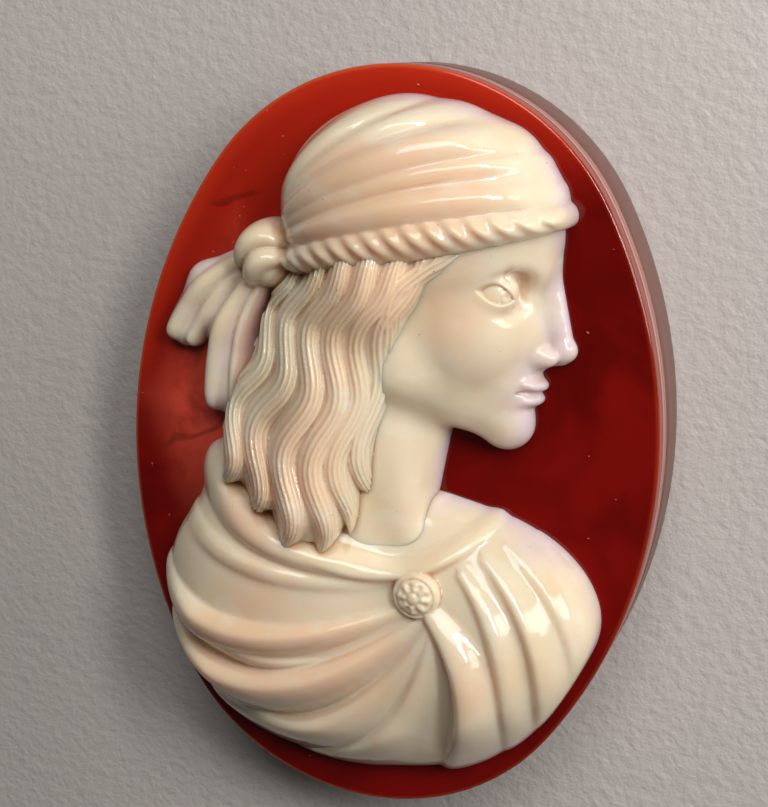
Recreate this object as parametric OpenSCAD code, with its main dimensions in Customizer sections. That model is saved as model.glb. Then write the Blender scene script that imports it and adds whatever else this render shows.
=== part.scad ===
// Hardstone cameo: an oval plate of banded stone with a lady's bust carved in high relief
// Millimetres. The origin is the centre of the plate's back face, +Z goes out through the relief,
// +Y goes to the top of the head and +X to the side that the face looks to.

/* [Plate] */
// Width of the oval plate
plate_w = 36.4; // [35.6:0.2:38]
// Height of the oval plate
plate_h = 50; // [49:0.5:53]
// Radius of the round ends of the oval
end_r = 15.5; // [14.5:0.1:16.5]
// Chamfer round the front and the back edge
edge_cut = 0.25; // [0.1:0.05:0.5]

/* [Layers of the stone] */
// Thickness of the mauve back layer
back_t = 4; // [2:0.1:6]
// Thickness of the pale band above it
pale_t = 1.3; // [0.6:0.1:2]
// Thickness of the red layer that is the ground of the relief
red_t = 1.2; // [0.8:0.1:2]

/* [Bust] */
// Width of the bust, from the back to the breast
bust_w = 31.6; // [27:0.2:32]
// Height of the bust, from the head cloth to the hem
bust_l = 45.6; // [42:0.2:46.6]
// How far the bust stands out of the red ground
bust_out = 7.8; // [5:0.1:9.5]
// Size of the facets of the bust's surface
facet = 0.5; // [0.47:0.01:0.8]

/* [Hidden] */
$fn = 96;

// The oval: two side arcs and two end arcs that meet without a corner
half_w = plate_w / 2;
half_h = plate_h / 2;
end_y = half_h - end_r;
side_x = (end_y * end_y - (half_w - end_r) * (half_w - end_r)) / (2 * (half_w - end_r));
side_r = half_w + side_x;
meet = [side_x, end_y] / norm([side_x, end_y]);
reach = 1.1 * half_w / meet.x;
ground_z = back_t + pale_t + red_t;

// The head has its own frame: x out of the face, y up from the chin, z to the side
HEAD_AT = [9.4, 1.9, 0.2];
HEAD_SIZE = 1.06;
HEAD_BOW = -5;

// A mass is an ellipsoid
MASS_AT = 0;
MASS_RADII = 1;
MASS_TURN = 2;
MASS_BLEND = 3;
// A limb is a cone with round ends
LIMB_FROM = 0;
LIMB_TO = 1;
LIMB_R = 2;
LIMB_BLEND = 3;
// A fold or a lock is a ridge along a curve; its half-widths are at the start, middle and end
FOLD_START = 0;
FOLD_BEND = 1;
FOLD_END = 2;
FOLD_W = 3;
FOLD_HIGH = 4;
FOLD_SKEW = 5;
LOCK_WAVES = 5;
LOCK_PHASE = 6;

// Head: centre, radii, turn about z, blend with the masses before it
HEAD_MASSES = [
    [[-8.4, 12.2, 0], [8.3, 6.8, 6.2], 0, 1],        // skull
    [[-5, 12.4, 0], [4.8, 4.8, 4.9], 0, 1],          // forehead
    [[-4.9, 7, 0], [4.75, 6.2, 4.5], 0, 1.2],        // middle of the face
    [[-4.3, 6.9, 2.3], [2.6, 2.3, 2], 0, 2],         // cheek
    [[-1.35, 6.9, 0], [1.75, 2.6, 1.9], 0, 0.9],     // under the nose
    [[-0.8, 1.55, 0], [1.25, 1.35, 1.6], 0, 0.9],    // chin
    [[-1.8, 4, 0], [2.05, 2.1, 2.5], 0, 1]           // round the mouth
];
// Head and neck: from, to, radii at both ends, blend
HEAD_LIMBS = [
    [[-1.5, 1.75, 0.4], [-7.6, 3.9, 3.2], [1.3, 1.5], 1.6],       // jaw
    [[-7.6, 3.9, 3.2], [-8.8, 8.5, 3.6], [1.5, 1.2], 2.2],        // corner of the jaw
    [[-1.1, 11.3, 0.9], [-3.4, 11.6, 3.3], [0.8, 0.6], 1],        // brow
    [[-8, 4.5, 0], [-8.4, -7.5, 0], [3.6, 3.9], 1],               // throat
    [[-12, 7, 0], [-14, -7, 0], [3.2, 4], 2],                     // nape
    [[-10.6, 6.8, 3], [-5.4, -6, 2.4], [1.1, 0.9], 1.6]           // muscle at the side of the neck
];
SOCKET = [[-1.5, 9.9, 3.3], [1.55, 1.25, 1.55], 0, 0.8];
EYEBALL = [[-2.8, 9.7, 2.95], [1.4, 1.4, 1.4], 0, 0.5];
NOSE_BRIDGE = [[-0.85, 11.3, 0], [1.2, 6.95, 0], [0.95, 0.68], 0.6];
NOSE_BASE = [[1.2, 6.2, 0], [0, 5.75, 0], [0.42, 0.5], 0.3];
NOSE_MASSES = [
    [[1.3, 6.6, 0], [0.85, 0.7, 0.8], 20, 0.4],      // tip
    [[0.4, 6.15, 0.95], [0.85, 0.56, 0.55], 8, 0.4]  // side of the nostril
];
LIPS = [
    [[-0.5, 4.55, 0], [1.38, 0.58, 1.95], -12, 0.3],
    [[-0.62, 3.4, 0], [1.42, 0.62, 1.75], 4, 0.3]
];

// Head cloth: two masses, cut along the line from the brow to the nape
CLOTH_MASSES = [
    [[-8.5, 12.5, 0], [8.8, 7.1, 6.4], 0, 1],
    [[-5.4, 13.2, 0], [5.2, 5.3, 5.2], 0, 1.4]
];
CLOTH_BROW = [-0.2, 14];
CLOTH_NAPE = [-17, 6.2];
CLOTH_FLAT = -0.25;
// Start, bend, end, half-widths, height, skew: the rolled band over the brow, then the cap's folds
CLOTH_BAND = [[-0.1, 14.5], [-8.6, 12.2], [-16.8, 7.8], [0.85, 1.3, 0.95], 1, 0];
CLOTH_FOLDS = [
    [[0.6, 16.2], [-8.8, 14.8], [-16.6, 9.4], [0.6, 1.2, 0.5], 1, 0.3],
    [[-0.4, 17.8], [-9.6, 16.6], [-16.8, 9.9], [0.4, 0.7, 0.4], 0.65, 0.3],
    [[-1.6, 19], [-10.6, 18.2], [-17, 10.4], [0.6, 1.3, 0.5], 1.1, 0.3],
    [[-4.2, 20.6], [-12.2, 19], [-17.2, 10.8], [0.4, 0.8, 0.4], 0.7, 0.3],
    [[-8.4, 21], [-14.4, 18.4], [-17.4, 11.2], [0.5, 1, 0.5], 0.9, 0.3]
];
KNOT = [[-17.4, 8.4, 0.9], [1.9, 2.2, 2.7], 20, 0.2];
KNOT_FLAT = -0.2;
KNOT_FOLDS = [
    [[-15.8, 9.6], [-18.4, 10.8], [-19.2, 7.6], [0.5, 0.8, 0.5], 0.6, 0],
    [[-15.8, 8.6], [-17.6, 8.8], [-18.2, 6.4], [0.5, 0.7, 0.5], 0.5, 0]
];
// Two loose ends of the cloth, below the knot
TAILS = [
    [[-17.8, 7.6, 0.4], [-19.6, 3.4, 0.2], [1.1, 1.5], 0.6],
    [[-19.6, 3.4, 0.2], [-18.9, -0.9, 0.2], [1.5, 1.7], 0.8],
    [[-18.4, 8, 0.2], [-21.6, 5.4, 0], [1, 1.3], 0.6],
    [[-21.6, 5.4, 0], [-22.6, 2.4, 0], [1.3, 1.4], 0.8]
];
TAIL_FLAT = -0.3;
TAIL_FOLDS = [
    [[-17.9, 7.4], [-20.9, 3.6], [-19.9, -1.8], [0.4, 0.7, 0.6], 0.6, 0.3],
    [[-17.4, 7], [-19.2, 3.4], [-17.9, -1.9], [0.4, 0.6, 0.6], 0.5, 0.3],
    [[-18.2, 8.2], [-21.9, 6.6], [-23.4, 2], [0.4, 0.7, 0.6], 0.5, 0.2],
    [[-18.4, 7.4], [-20.9, 5.6], [-21.9, 1.7], [0.3, 0.5, 0.5], 0.4, 0.2]
];

// Hair: masses and limbs under the locks
HAIR_MASSES = [
    [[-9.4, 9, 1], [4.3, 5, 5.6], 0, 1],
    [[-6.4, 11.2, 1], [3.6, 3, 4.5], 35, 1.2]
];
HAIR_LIMBS = [
    [[-11, 5.5, 1.6], [-11.2, -5.6, 4.2], [3.8, 2.9], 1.5],
    [[-13.2, 5.5, 0.2], [-15.2, -4, 2.6], [3.2, 2.7], 1.5]
];
// Depth between the locks, where they leave the head and at their ends, and those two heights
HAIR_FLAT = [-0.35, -1.1];
HAIR_ENDS = [-1, -7];
// Start, bend, end, half-widths, height, [number, swing] of the waves, phase
LOCKS = [
    [[-15.5, 8.2], [-18.2, 2.4], [-18.2, -4.4], [0.7, 1, 0.6], 0.75, [2.3, 0.5], 0.3],
    [[-14.2, 8.8], [-16.8, 1.6], [-16.8, -6.8], [0.7, 1.05, 0.6], 0.8, [2.4, 0.55], 0.24],
    [[-12.8, 9.4], [-15.2, 1.2], [-14.6, -8.6], [0.7, 1.05, 0.65], 0.85, [2.5, 0.58], 0.18],
    [[-11.4, 10], [-13.4, 1.2], [-12, -9.2], [0.7, 1.1, 0.7], 0.85, [2.5, 0.6], 0.12],
    [[-9.8, 10.6], [-11.8, 1.6], [-9.6, -8.8], [0.7, 1.05, 0.7], 0.85, [2.5, 0.6], 0.06],
    [[-8, 11.2], [-10.6, 2.6], [-8.3, -7], [0.7, 1, 0.6], 0.8, [2.4, 0.55], 0],
    [[-6.2, 12], [-9.9, 4.6], [-6.9, -5.4], [0.6, 0.95, 0.6], 0.75, [2.3, 0.45], 0.94],
    [[-4.4, 12.9], [-9.2, 9.6], [-8, 2.4], [0.5, 0.9, 0.4], 0.7, [1.8, 0.35], 0.8],
    [[-2.6, 13.5], [-8, 11.4], [-7.8, 5.2], [0.4, 0.85, 0.4], 0.65, [1.6, 0.32], 0.7],
    [[-1.2, 14.1], [-6, 13.2], [-7.3, 7.6], [0.3, 0.8, 0.4], 0.6, [1.4, 0.25], 0.6]
];
// A lock tapers over the last fifth of its length, down to this share of its width
TIP = 5;
THIN = 0.12;
// Beside a lock the hair falls away by up to this share of its height
LOCK_DIP = 0.8;

// Mantle, on the plate: the body under the cloth, then its folds
MANTLE_MASSES = [
    [[0.9, -12, 0], [15, 10.1, 4.6], 8, 1],          // chest and back
    [[-5.2, -9.8, 1.2], [8.6, 7.6, 5.2], 0, 2],      // near shoulder
    [[8.8, -10.2, 0], [6.9, 6.8, 5], 0, 2]           // breast
];
MANTLE_LIMBS = [[[-9.4, -2.6, 0.6], [-6, -5.4, 1.2], [2.4, 3], 2.5]];
MANTLE_FLAT = -0.35;
MANTLE_FOLDS = [
    // Cloak, from the clasp round the shoulder
    [[-12.6, -1], [-7.2, -6], [3.4, -6.4], [1.3, 1.5, 0.9], 1.5, -0.2],
    [[-14.6, -4], [-8.4, -8.6], [3.6, -7.2], [0.7, 1, 0.5], 0.7, -0.3],
    [[-16, -8], [-9.4, -16.2], [4.4, -8.4], [1.2, 1.7, 0.5], 1.5, -0.35],
    [[-12, -11.8], [-6.6, -15.2], [-1.4, -13.2], [0.3, 0.9, 0.3], 0.9, -0.2],
    [[-16.2, -12.8], [-5.2, -21.2], [5.2, -9], [1.4, 2.2, 0.5], 1.8, -0.35],
    [[-13, -17.2], [-5.2, -20.8], [0, -18.4], [0.4, 1, 0.3], 0.8, -0.2],
    [[-11.4, -19.2], [0, -23.2], [5.9, -9.4], [1.3, 1.9, 0.5], 1.4, -0.35],
    [[-3.6, -22.3], [4.4, -21.8], [6.2, -9.8], [1.2, 1.7, 0.5], 1.3, -0.35],
    [[5.8, -8.8], [11.2, -13.4], [7, -22.2], [0.8, 1.8, 1.6], 1.8, 0.4],
    // Dress, from the neckline down the breast
    [[-3.4, -5.4], [3.4, -9], [8.6, -2.6], [0.7, 0.8, 0.8], 1.1, 0.2],
    [[7.4, -5.8], [12.4, -9.6], [11.2, -19.4], [0.5, 1.1, 0.9], 1, 0.25],
    [[8.6, -4.6], [15, -8.8], [13.2, -18], [0.5, 1.1, 0.9], 1, 0.25],
    [[9.8, -3.6], [17.2, -8], [15.2, -15.6], [0.5, 1.1, 0.9], 1, 0.25],
    [[11.4, -3.2], [18.6, -7], [17, -12.8], [0.5, 1, 0.8], 0.9, 0.25]
];
CLASP = [[4.8, -7.5, 4.9], [1.6, 1.6, 1.1], 0, 0.1];
// The mantle stops this far inside the plate's rim, and rounds off over this much
RIM_ROOM = 0.8;
RIM_BLEND = 1;

// How softly folds run into each other: on the cloth, between locks and on the mantle
CLOTH_SOFT = 0.15;
LOCK_SOFT = 0.1;
MANTLE_SOFT = 0.25;
// Blend at the cut edge of the head cloth
CUT_BLEND = 0.5;
// A fold dips by this share of its height at both sides
DIP = -0.3;
// Folds have this share of their height at the outline, and all of it this far inside
CLOTH_EASE = [0.2, 1.5];
MANTLE_EASE = [0.25, 4];
// Only the part of the head behind these x has a knot, and hair
KNOT_X = -13;
HAIR_X = 0;

// The forms that the relief is put together from
HEAD = 0;
MANTLE = 1;
TAIL = 2;

// How close a ray comes to the surface before it stops, and its step as a share of the way left
NEAR = 0.01;
STEP = 0.8;
// Height above the ground where the rays start, and the least height between two outlines
SKY = 10;
FILM = 0.12;
// Rays along the ground start this far out
EDGE = 30;
// Where those rays look for the ends of the rows: x over the head, under the chin, over and under the
// cloth's loose ends, and y beside the mantle
CROWN_X = [-2:0.5:4];
CHIN_X = [7:0.25:9];
ENDS_TOP_X = [-11:0.5:-7];
ENDS_LOW_X = [-14:0.5:-8];
SIDES_Y = [-20:0.5:0];
// The neck's rows stop here, inside the mantle
COLLAR_Y = -8;
// How far a row of points runs across each form, for the number of its points
HEAD_ACROSS = 22;
NECK_ACROSS = 14;
ENDS_ACROSS = 7;
MANTLE_ACROSS = 20;
// How much closer points lie at the ends of a row, and how far short of the outline rows stop
CROWDED = 0.2;
INSET = 0.1;

function clamp(v, low, high) = max(low, min(high, v));
function smooth_min(a, b, k) = let (h = max(k - abs(a - b), 0) / k) min(a, b) - h * h * k / 4;
function smooth_max(a, b, k) = -smooth_min(-a, -b, k);
function over(v, r) = [v.x / r.x, v.y / r.y, v.z / r.z];
function spin(v, turn) = turn == 0 ? v
    : [v.x * cos(turn) + v.y * sin(turn), v.y * cos(turn) - v.x * sin(turn), v.z];

// Distance from a point to a mass and to a limb, below zero inside
function to_mass(p, m) = let (
        q = over(spin(p - m[MASS_AT], m[MASS_TURN]), m[MASS_RADII]),
        near = norm(q)
    ) near * (near - 1) / max(norm(over(q, m[MASS_RADII])), 1e-6);
function to_limb(p, m) = let (
        line = m[LIMB_TO] - m[LIMB_FROM],
        off = p - m[LIMB_FROM],
        along = clamp(off * line / (line * line), 0, 1)
    ) norm(off - along * line) - m[LIMB_R][0] - along * (m[LIMB_R][1] - m[LIMB_R][0]);
function join_masses(p, rows, d, i = 0) = i == len(rows) ? d
    : join_masses(p, rows, smooth_min(d, to_mass(p, rows[i]), rows[i][MASS_BLEND]), i + 1);
function join_limbs(p, rows, d, i = 0) = i == len(rows) ? d
    : join_limbs(p, rows, smooth_min(d, to_limb(p, rows[i]), rows[i][LIMB_BLEND]), i + 1);
FAR = 100;

// The line of a fold, and of a lock, which swings from side to side
function on_curve(f, t) = (1 - t) * (1 - t) * f[FOLD_START] + 2 * t * (1 - t) * f[FOLD_BEND]
    + t * t * f[FOLD_END];
function heading(f, t) = let (
        d = (1 - t) * (f[FOLD_BEND] - f[FOLD_START]) + t * (f[FOLD_END] - f[FOLD_BEND])
    ) d / norm(d);
function fold_line(f, n = 10) = [for (i = [0:n]) on_curve(f, i / n)];
function lock_line(f, n = 18) = [for (i = [0:n]) let (
        t = i / n,
        dir = heading(f, t),
        swing = f[LOCK_WAVES][1] * sin(360 * (f[LOCK_WAVES][0] * t + f[LOCK_PHASE]))
    ) on_curve(f, t) + min(1, 4 * t) * swing * [-dir.y, dir.x]];

// Nearest place on a line: [distance, side, share of the way along]
function nearest(p, line, i = 0, best = [FAR, 0, 0]) = i == len(line) - 1 ? best
    : let (
        piece = line[i + 1] - line[i],
        off = p - line[i],
        along = clamp(off * piece / (piece * piece), 0, 1),
        gap = off - along * piece,
        d = norm(gap)
    ) nearest(p, line, i + 1, d < best[0]
        ? [d, sign(piece.x * gap.y - piece.y * gap.x), (i + along) / (len(line) - 1)]
        : best);
function width_at(w, t) = (1 - t) * (1 - t) * w[0] + t * (1 - t) * (4 * w[1] - w[0] - w[2])
    + t * t * w[2];
function taper(t) = max(THIN, sqrt(clamp(TIP * (1 - t), 0, 1)));
function ridge(p, f, line, skew) = let (
        hit = nearest(p, line),
        w = width_at(f[FOLD_W], hit[2]),
        q = hit[0] / (w * (1 + skew * hit[1]))
    ) f[FOLD_HIGH] * w / max(f[FOLD_W]) * clamp(1 - q * q, DIP, 1);
function ridges(p, folds, lines, flat, k, i = 0) = i == len(folds) ? flat
    : ridges(p, folds, lines, smooth_max(flat, ridge(p, folds[i], lines[i], folds[i][FOLD_SKEW]), k),
        k, i + 1);
function lock_ridge(p, f, line) = let (
        hit = nearest(p, line),
        w = width_at(f[FOLD_W], hit[2]) * taper(hit[2]),
        q = hit[0] / w
    ) f[FOLD_HIGH] * (w / max(f[FOLD_W]) * clamp(1 - q * q, 0, 1) - clamp(q - 1, 0, LOCK_DIP));
function lock_ridges(p, d, i = 0) = i == len(LOCKS) ? d
    : lock_ridges(p, smooth_max(d, lock_ridge(p, LOCKS[i], LOCK_LINES[i]), LOCK_SOFT), i + 1);
function between_locks(y) = HAIR_FLAT[0] + (HAIR_FLAT[1] - HAIR_FLAT[0])
    * clamp((HAIR_ENDS[0] - y) / (HAIR_ENDS[0] - HAIR_ENDS[1]), 0, 1);
LOCK_LINES = [for (f = LOCKS) lock_line(f)];
BAND_LINE = fold_line(CLOTH_BAND);
CLOTH_LINES = [for (f = CLOTH_FOLDS) fold_line(f)];
KNOT_LINES = [for (f = KNOT_FOLDS) fold_line(f)];
TAIL_LINES = [for (f = TAIL_FOLDS) fold_line(f)];
MANTLE_LINES = [for (f = MANTLE_FOLDS) fold_line(f)];

// Folds grow shallow towards the outline
function eased(depth, ease) = let (u = clamp(depth / ease[1], 0, 1))
    ease[0] + (1 - ease[0]) * u * u * (3 - 2 * u);
function to_head(p) = spin(p - HEAD_AT, HEAD_BOW) / HEAD_SIZE;

function face(h) = let (
        head = join_limbs(h, HEAD_LIMBS, join_masses(h, HEAD_MASSES, FAR)),
        hollow = smooth_max(head, -to_mass(h, SOCKET), SOCKET[MASS_BLEND]),
        nose = smooth_min(join_masses(h, NOSE_MASSES, to_limb(h, NOSE_BRIDGE)),
            to_limb(h, NOSE_BASE), NOSE_BASE[LIMB_BLEND]),
        both = smooth_min(hollow, nose, NOSE_BRIDGE[LIMB_BLEND])
    ) join_masses(h, [EYEBALL], join_masses(h, LIPS, both));
function cloth_cut(h) = let (edge = CLOTH_NAPE - CLOTH_BROW)
    ((h.y - CLOTH_BROW.y) * edge.x - (h.x - CLOTH_BROW.x) * edge.y) / norm(edge);
function cloth(h, folds, knot_folds) = smooth_min(
    smooth_max(join_masses(h, CLOTH_MASSES, FAR), cloth_cut(h), CUT_BLEND) - folds,
    to_mass(h, KNOT) - knot_folds, KNOT[MASS_BLEND]);
function hair(h, folds) = join_limbs(h, HAIR_LIMBS, join_masses(h, HAIR_MASSES, FAR)) - folds;
function mantle_body(p) = join_limbs(p, MANTLE_LIMBS, join_masses(p, MANTLE_MASSES, FAR));
function to_rim(x, y) = (y - end_y) * side_x > x * end_y
    ? norm([x, y - end_y]) - end_r : norm([x + side_x, y]) - side_r;
function mantle(p, folds) = smooth_max(min(mantle_body(p) - folds, to_mass(p, CLASP)),
    to_rim(abs(p.x), abs(p.y)) + RIM_ROOM, RIM_BLEND);

function cloth_folds(h) = smooth_max(
    ridges(h, CLOTH_FOLDS, CLOTH_LINES, CLOTH_FLAT, CLOTH_SOFT)
        * eased(-to_mass([h.x, h.y, 0], CLOTH_MASSES[0]), CLOTH_EASE),
    ridge(h, CLOTH_BAND, BAND_LINE, 0), LOCK_SOFT);

// Heights of the folds over one place of the plate: [cloth, knot, hair], or [mantle], or [tails]
function fold_heights(p, form) = let (h3 = to_head([p.x, p.y, 0]), h = [h3.x, h3.y])
    form == MANTLE ? [
        ridges(p, MANTLE_FOLDS, MANTLE_LINES, MANTLE_FLAT, MANTLE_SOFT)
            * eased(-mantle_body([p.x, p.y, 0]), MANTLE_EASE)
    ]
    : form == TAIL ? [ridges(h, TAIL_FOLDS, TAIL_LINES, TAIL_FLAT, CLOTH_SOFT)]
    : [
        h.y < CLOTH_NAPE.y ? 0 : cloth_folds(h),
        h.x > KNOT_X ? 0 : ridges(h, KNOT_FOLDS, KNOT_LINES, KNOT_FLAT, CLOTH_SOFT),
        h.x > HAIR_X ? HAIR_FLAT[0] : lock_ridges(h, between_locks(h.y))
    ];
function bust(p, folds, form) = let (h = to_head(p)) form == MANTLE ? mantle(p, folds[0])
    : form == TAIL ? HEAD_SIZE * (join_limbs(h, TAILS, FAR) - folds[0])
    : HEAD_SIZE * min(face(h), hair(h, folds[2]), p.y < 0 ? FAR : cloth(h, folds[0], folds[1]));

// Rays: one along the ground from outside, and one down to the surface
function slide(p, dir, form, n = 200) = let (d = bust([p.x, p.y, 0], fold_heights(p, form), form))
    d < NEAR || n == 0 ? p : slide(p + max(STEP * d, NEAR) * dir, dir, form, n - 1);
function drop(p, folds, form, n = 60) = let (d = bust(p, folds, form))
    d < NEAR || n == 0 || p.z < 0 ? p.z : drop(p - [0, 0, STEP * d], folds, form, n - 1);
function height(p, form) = max(FILM, drop([p.x, p.y, SKY], fold_heights(p, form), form));

// A row of points runs from one outline to the other, and they lie closer together near it
function spread(i, n) = 0.5 + (1 - 2 * CROWDED) * (i / n - 0.5) - CROWDED * cos(180 * i / n);
function between(a, b, form, n, lift = [0, 0]) = [for (i = [0:n]) let (
        p = a + (b - a) * spread(i, n) + lift
    ) [p.x, p.y, i == 0 || i == n ? 0 : height(p, form)]];
function row_across(y, form, n) = between(
    slide([-EDGE, y], [1, 0], form), slide([EDGE, y], [-1, 0], form), form, n);
function mantle_row(x, n) = between(
    slide([x, -EDGE], [0, 1], MANTLE), slide([x, EDGE], [0, -1], MANTLE), MANTLE, n);
// Even steps that stop a little short of both ends
function steps(from, to, size) = let (
        n = ceil(abs(to - from) / size),
        inset = INSET * sign(to - from)
    ) [for (i = [0:n]) from + inset + (to - from - 2 * inset) * i / n];

// A skin over rows of points, flat underneath
module skin(rows) {
    last = len(rows) - 1;
    n = len(rows[0]);
    points = [for (row = rows) each row];
    function at(j, i) = j * n + i;
    function short(a, b, c, d) = norm(points[a] - points[c]) < norm(points[b] - points[d])
        ? [[a, b, c], [a, c, d]] : [[a, b, d], [b, c, d]];
    top = [for (j = [0:last - 1], i = [0:n - 2])
        each short(at(j, i), at(j, i + 1), at(j + 1, i + 1), at(j + 1, i))];
    upper_end = [[for (i = [n - 1:-1:0]) at(0, i)]];
    lower_end = [[for (i = [0:n - 1]) at(last, i)]];
    base = [concat([for (j = [0:last]) at(j, 0)], [for (j = [last:-1:0]) at(j, n - 1)])];
    polyhedron(points, concat(top, upper_end, lower_end, base), convexity = 10);
}

// The oval drawn out from z over t, and drawn in by low at its lower end and high at its upper end
module oval(z, t, low = 0, high = 0) {
    far = meet * reach;
    translate([0, 0, z]) {
        intersection() {
            for_side(side_x) cylinder(t, side_r - low, side_r - high);
            linear_extrude(t) polygon([
                [0, end_y], [far.x, end_y + far.y], [far.x, -end_y - far.y],
                [0, -end_y], [-far.x, -end_y - far.y], [-far.x, end_y + far.y]
            ]);
        }
        for (side = [-1, 1]) translate([0, side * end_y]) cylinder(t, end_r - low, end_r - high);
    }
}
module for_side(x) {
    intersection() {
        translate([-x, 0]) children();
        translate([x, 0]) children();
    }
}

module back_layer() {
    color([0.46, 0.31, 0.28]) {
        oval(0, edge_cut, low = edge_cut);
        oval(edge_cut, back_t - edge_cut);
    }
}
module pale_band() {
    color([0.8, 0.64, 0.6]) oval(back_t, pale_t);
}
module red_ground() {
    color([0.5, 0.06, 0.04]) {
        oval(back_t + pale_t, red_t - edge_cut);
        oval(ground_z - edge_cut, edge_cut, high = edge_cut);
    }
}
// The head down to the chin, then the neck and the hair that falls beside it
module head_and_neck() {
    top = max([for (x = CROWN_X) slide([x, EDGE], [0, -1], HEAD).y]);
    chin = min([for (x = CHIN_X) slide([x, COLLAR_Y], [0, 1], HEAD).y]);
    cols = ceil(HEAD_ACROSS / facet);
    neck_cols = ceil(NECK_ACROSS / facet);
    skin([for (y = steps(top, chin, facet)) row_across(y, HEAD, cols)]);
    neck_rows = [for (y = steps(chin, COLLAR_Y, facet)) row_across(y, HEAD, neck_cols)];
    first = neck_rows[0];
    skin(concat([between([first[0].x, first[0].y], [first[neck_cols].x, first[0].y], HEAD, neck_cols,
        [0, facet])], neck_rows));
}
module cloth_ends() {
    top = max([for (x = ENDS_TOP_X) slide([x, EDGE], [0, -1], TAIL).y]);
    bottom = min([for (x = ENDS_LOW_X) slide([x, -EDGE], [0, 1], TAIL).y]);
    skin([for (y = steps(top, bottom, facet)) row_across(y, TAIL, ceil(ENDS_ACROSS / facet))]);
}
module draped_body() {
    left = min([for (y = SIDES_Y) slide([-EDGE, y], [1, 0], MANTLE).x]);
    right = max([for (y = SIDES_Y) slide([EDGE, y], [-1, 0], MANTLE).x]);
    skin([for (x = steps(left, right, facet)) mantle_row(x, ceil(MANTLE_ACROSS / facet))]);
}
module bust_relief() {
    color([0.93, 0.85, 0.75]) translate([0, 0, ground_z]) resize([bust_w, bust_l, bust_out]) {
        head_and_neck();
        cloth_ends();
        draped_body();
    }
}

back_layer();
pale_band();
red_ground();
bust_relief();
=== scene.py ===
"""Hardstone cameo: an oval plate of banded stone with a lady's bust carved in high relief.

Lengths are in millimetres, in the part's own frame, until a mesh is made; Blender gets metres.
The bust is drawn as distances to solid forms, with z counted from the red ground, and each form
becomes a mesh by surface nets. The tables of masses, limbs, folds and locks say what the part's
own source says.
"""
import math

import bpy
import numpy as np
from mathutils import Matrix, Vector


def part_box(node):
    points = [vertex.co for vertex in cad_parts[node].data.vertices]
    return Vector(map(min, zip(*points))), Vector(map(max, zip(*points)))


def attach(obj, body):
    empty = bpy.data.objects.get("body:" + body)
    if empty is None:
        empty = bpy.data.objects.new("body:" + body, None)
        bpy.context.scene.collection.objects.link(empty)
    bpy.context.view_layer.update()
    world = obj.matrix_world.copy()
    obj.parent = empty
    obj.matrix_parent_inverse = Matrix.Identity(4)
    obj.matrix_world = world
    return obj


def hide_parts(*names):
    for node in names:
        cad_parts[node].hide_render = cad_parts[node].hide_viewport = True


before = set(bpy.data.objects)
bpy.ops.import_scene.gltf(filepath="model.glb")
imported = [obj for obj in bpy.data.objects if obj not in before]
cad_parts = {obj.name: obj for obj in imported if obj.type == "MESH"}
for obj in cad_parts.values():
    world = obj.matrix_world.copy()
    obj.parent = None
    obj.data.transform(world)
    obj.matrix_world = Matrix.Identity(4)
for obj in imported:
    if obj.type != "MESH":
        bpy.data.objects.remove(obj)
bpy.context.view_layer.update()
MM = 0.001

# Plate and its layers
HALF_W, HALF_H, END_R = 18.2, 25.0, 15.5
EDGE_CUT = 0.25
BACK_T, PALE_T, RED_T = 4.0, 1.3, 1.2
GROUND_Z = BACK_T + PALE_T + RED_T
END_Y = HALF_H - END_R
SIDE_X = (END_Y**2 - (HALF_W - END_R) ** 2) / (2 * (HALF_W - END_R))
SIDE_R = HALF_W + SIDE_X

# The head has its own frame: x out of the face, y up from the chin, z to the side
HEAD_AT = (9.4, 1.9, 0.2)
HEAD_SIZE = 1.06
HEAD_BOW = math.radians(-5)

# Masses: centre, radii, turn about z, blend with the masses before them
HEAD_MASSES = [
    ((-8.4, 12.2, 0), (8.3, 6.8, 6.2), 0, 1.0),      # skull
    ((-5.0, 12.4, 0), (4.8, 4.8, 4.9), 0, 1.0),      # forehead
    ((-4.9, 7.0, 0), (4.75, 6.2, 4.5), 0, 1.2),      # middle of the face
    ((-4.3, 6.9, 2.3), (2.6, 2.3, 2.0), 0, 2.0),     # cheek
    ((-1.35, 6.9, 0), (1.75, 2.6, 1.9), 0, 0.9),     # under the nose
    ((-0.8, 1.55, 0), (1.25, 1.35, 1.6), 0, 0.9),    # chin
    ((-1.8, 4.0, 0), (2.05, 2.1, 2.5), 0, 1.0),      # round the mouth
]
# Limbs: from, to, radii at both ends, blend
HEAD_LIMBS = [
    ((-1.5, 1.75, 0.4), (-7.6, 3.9, 3.2), (1.3, 1.5), 1.6),      # jaw
    ((-7.6, 3.9, 3.2), (-8.8, 8.5, 3.6), (1.5, 1.2), 2.2),       # corner of the jaw
    ((-1.1, 11.3, 0.9), (-3.4, 11.6, 3.3), (0.8, 0.6), 1.0),     # brow
    ((-8.0, 4.5, 0), (-8.4, -7.5, 0), (3.6, 3.9), 1.0),          # throat
    ((-12.0, 7.0, 0), (-14.0, -7.0, 0), (3.2, 4.0), 2.0),        # nape
    ((-10.6, 6.8, 3.0), (-5.4, -6.0, 2.4), (1.1, 0.9), 1.6),     # muscle at the side of the neck
]
SOCKET = ((-1.5, 9.9, 3.3), (1.55, 1.25, 1.55), 0, 0.8)
NOSE_BRIDGE = ((-0.85, 11.3, 0), (1.2, 6.95, 0), (0.95, 0.68), 0.6)
NOSE_BASE = ((1.2, 6.2, 0), (0, 5.75, 0), (0.42, 0.5), 0.3)
NOSE_MASSES = [
    ((1.3, 6.6, 0), (0.85, 0.7, 0.8), 20, 0.4),          # tip
    ((0.4, 6.15, 0.95), (0.85, 0.56, 0.55), 8, 0.4),     # side of the nostril
]
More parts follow.
